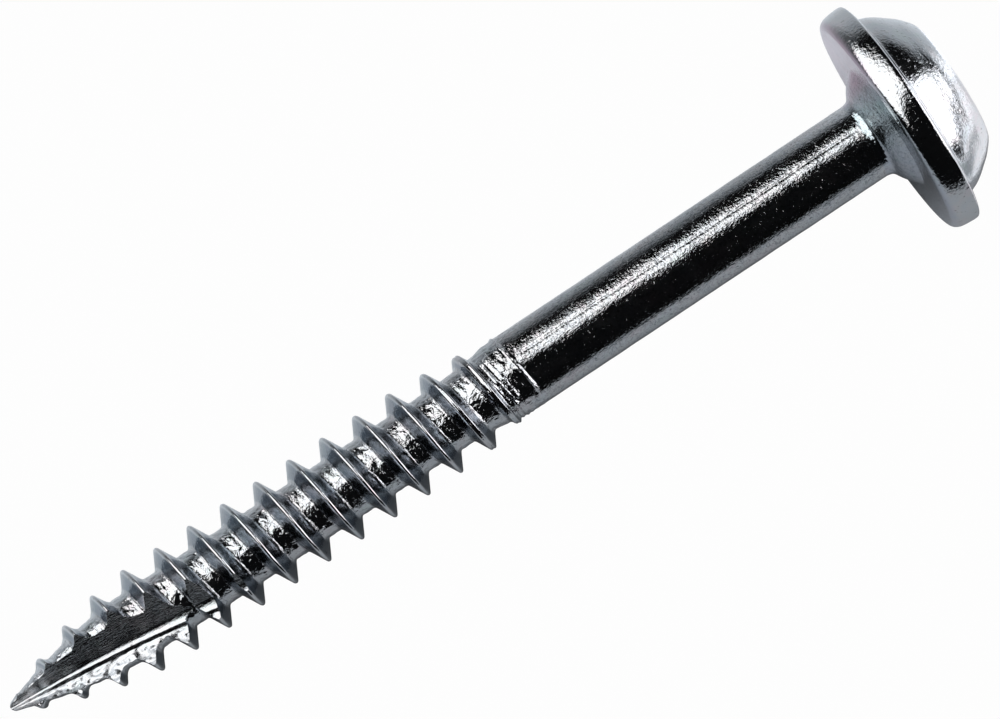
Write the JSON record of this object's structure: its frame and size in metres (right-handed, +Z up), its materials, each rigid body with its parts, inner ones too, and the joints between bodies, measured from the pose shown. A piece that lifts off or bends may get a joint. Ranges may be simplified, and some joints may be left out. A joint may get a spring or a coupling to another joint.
{
  "type": "wood screw",
  "caption": "Washer-head pocket-hole wood screw: domed head with a square drive, integral washer, smooth shank, coarse thread and fluted auger point.",
  "frame": {"origin": "centre of the washer's flat bearing face, the face that pulls down on the wood", "axes": "+X along the screw's axis towards the head, so the tip is at -X; +Z up, with the screw lying and the cutting flute of its point facing up"},
  "size_m": [0.0411, 0.0092, 0.0092],
  "materials": {
    "zinc_plated_steel": "bright zinc plated"
  },
  "bodies": {
    "root": {"drive_head": "zinc_plated_steel", "washer_flange": "zinc_plated_steel", "underhead_neck": "zinc_plated_steel", "shank": "zinc_plated_steel", "thread_runout": "zinc_plated_steel", "threaded_shank": "zinc_plated_steel", "auger_point": "zinc_plated_steel"}
  },
  "joints": []
}
